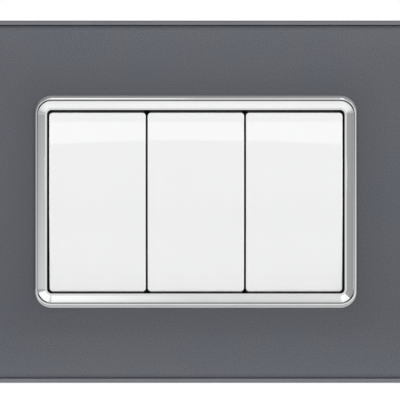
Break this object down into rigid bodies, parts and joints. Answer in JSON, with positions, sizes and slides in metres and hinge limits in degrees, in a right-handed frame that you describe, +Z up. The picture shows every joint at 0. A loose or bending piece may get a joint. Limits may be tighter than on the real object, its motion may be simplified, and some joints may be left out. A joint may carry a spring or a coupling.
{
  "type": "grid switch plate",
  "caption": "Wall grid plate with a satin grey cover, a chrome trim bezel and rocker switch keys that tilt, on a support frame with enclosed switch modules.",
  "frame": {"origin": "middle of the two fixing screws, on the wall plane at the back of the cover plate", "axes": "+X to the right seen from the front, +Z up, the front of the plate faces -Y and the switch modules stand behind the wall plane along +Y"},
  "size_m": [0.122, 0.0338, 0.0826],
  "materials": {
    "panel": "satin grey",
    "carrier": "moulded grey",
    "bezel": "polished chrome",
    "frame": "moulded dark grey",
    "housing": "moulded light grey",
    "base": "moulded mid grey",
    "key": "gloss white",
    "actuator": "moulded white",
    "plunger": "moulded brown",
    "spring": "bright wire",
    "brass": "stamped brass",
    "silver": "silver alloy",
    "steel": "zinc plated"
  },
  "bodies": {
    "plate": {"front_panel": "panel", "plate_carrier": "carrier", "trim_bezel": "bezel", "support_frame": "frame", "fixing_screws": "steel", "switch_housing_left": "housing", "terminal_base_left": "base", "fixed_contact_left": "silver", "common_terminal_left": "brass", "switched_terminal_left": "brass", "terminal_cages_left": "steel", "terminal_screws_left": "steel", "switch_housing_centre": "housing", "terminal_base_centre": "base", "fixed_contact_centre": "silver", "common_terminal_centre": "brass", "switched_terminal_centre": "brass", "terminal_cages_centre": "steel", "terminal_screws_centre": "steel", "switch_housing_right": "housing", "terminal_base_right": "base", "fixed_contact_right": "silver", "common_terminal_right": "brass", "switched_terminal_right": "brass", "terminal_cages_right": "steel", "terminal_screws_right": "steel"},
    "key_left": {"rocker_key_left": "key", "key_actuator_left": "actuator", "toggle_spring_left": "spring", "toggle_plunger_left": "plunger"},
    "contact_left": {"contact_rocker_left": "brass", "moving_contact_left": "silver"},
    "key_centre": {"rocker_key_centre": "key", "key_actuator_centre": "actuator", "toggle_spring_centre": "spring", "toggle_plunger_centre": "plunger"},
    "contact_centre": {"contact_rocker_centre": "brass", "moving_contact_centre": "silver"},
    "key_right": {"rocker_key_right": "key", "key_actuator_right": "actuator", "toggle_spring_right": "spring", "toggle_plunger_right": "plunger"},
    "contact_right": {"contact_rocker_right": "brass", "moving_contact_right": "silver"}
  },
  "joints": [
    {"name": "key_left_tilt", "type": "hinge", "parent": "plate", "child": "key_left", "pos_m": [-0.0225, -0.0062, 0], "axis": [-1, 0, 0], "range_deg": [0, 5.5]},
    {"name": "contact_left_tilt", "type": "hinge", "parent": "plate", "child": "contact_left", "pos_m": [-0.0225, 0.0069, 0], "axis": [1, 0, 0], "range_deg": [0, 11]},
    {"name": "key_centre_tilt", "type": "hinge", "parent": "plate", "child": "key_centre", "pos_m": [0, -0.0062, 0], "axis": [-1, 0, 0], "range_deg": [0, 5.5]},
    {"name": "contact_centre_tilt", "type": "hinge", "parent": "plate", "child": "contact_centre", "pos_m": [0, 0.0069, 0], "axis": [1, 0, 0], "range_deg": [0, 11]},
    {"name": "key_right_tilt", "type": "hinge", "parent": "plate", "child": "key_right", "pos_m": [0.0225, -0.0062, 0], "axis": [-1, 0, 0], "range_deg": [0, 5.5]},
    {"name": "contact_right_tilt", "type": "hinge", "parent": "plate", "child": "contact_right", "pos_m": [0.0225, 0.0069, 0], "axis": [1, 0, 0], "range_deg": [0, 11]}
  ],
  "couplings": [
    {"joint": "contact_left_tilt", "follows": "key_left_tilt", "ratio": 2},
    {"joint": "contact_centre_tilt", "follows": "key_centre_tilt", "ratio": 2},
    {"joint": "contact_right_tilt", "follows": "key_right_tilt", "ratio": 2}
  ]
}
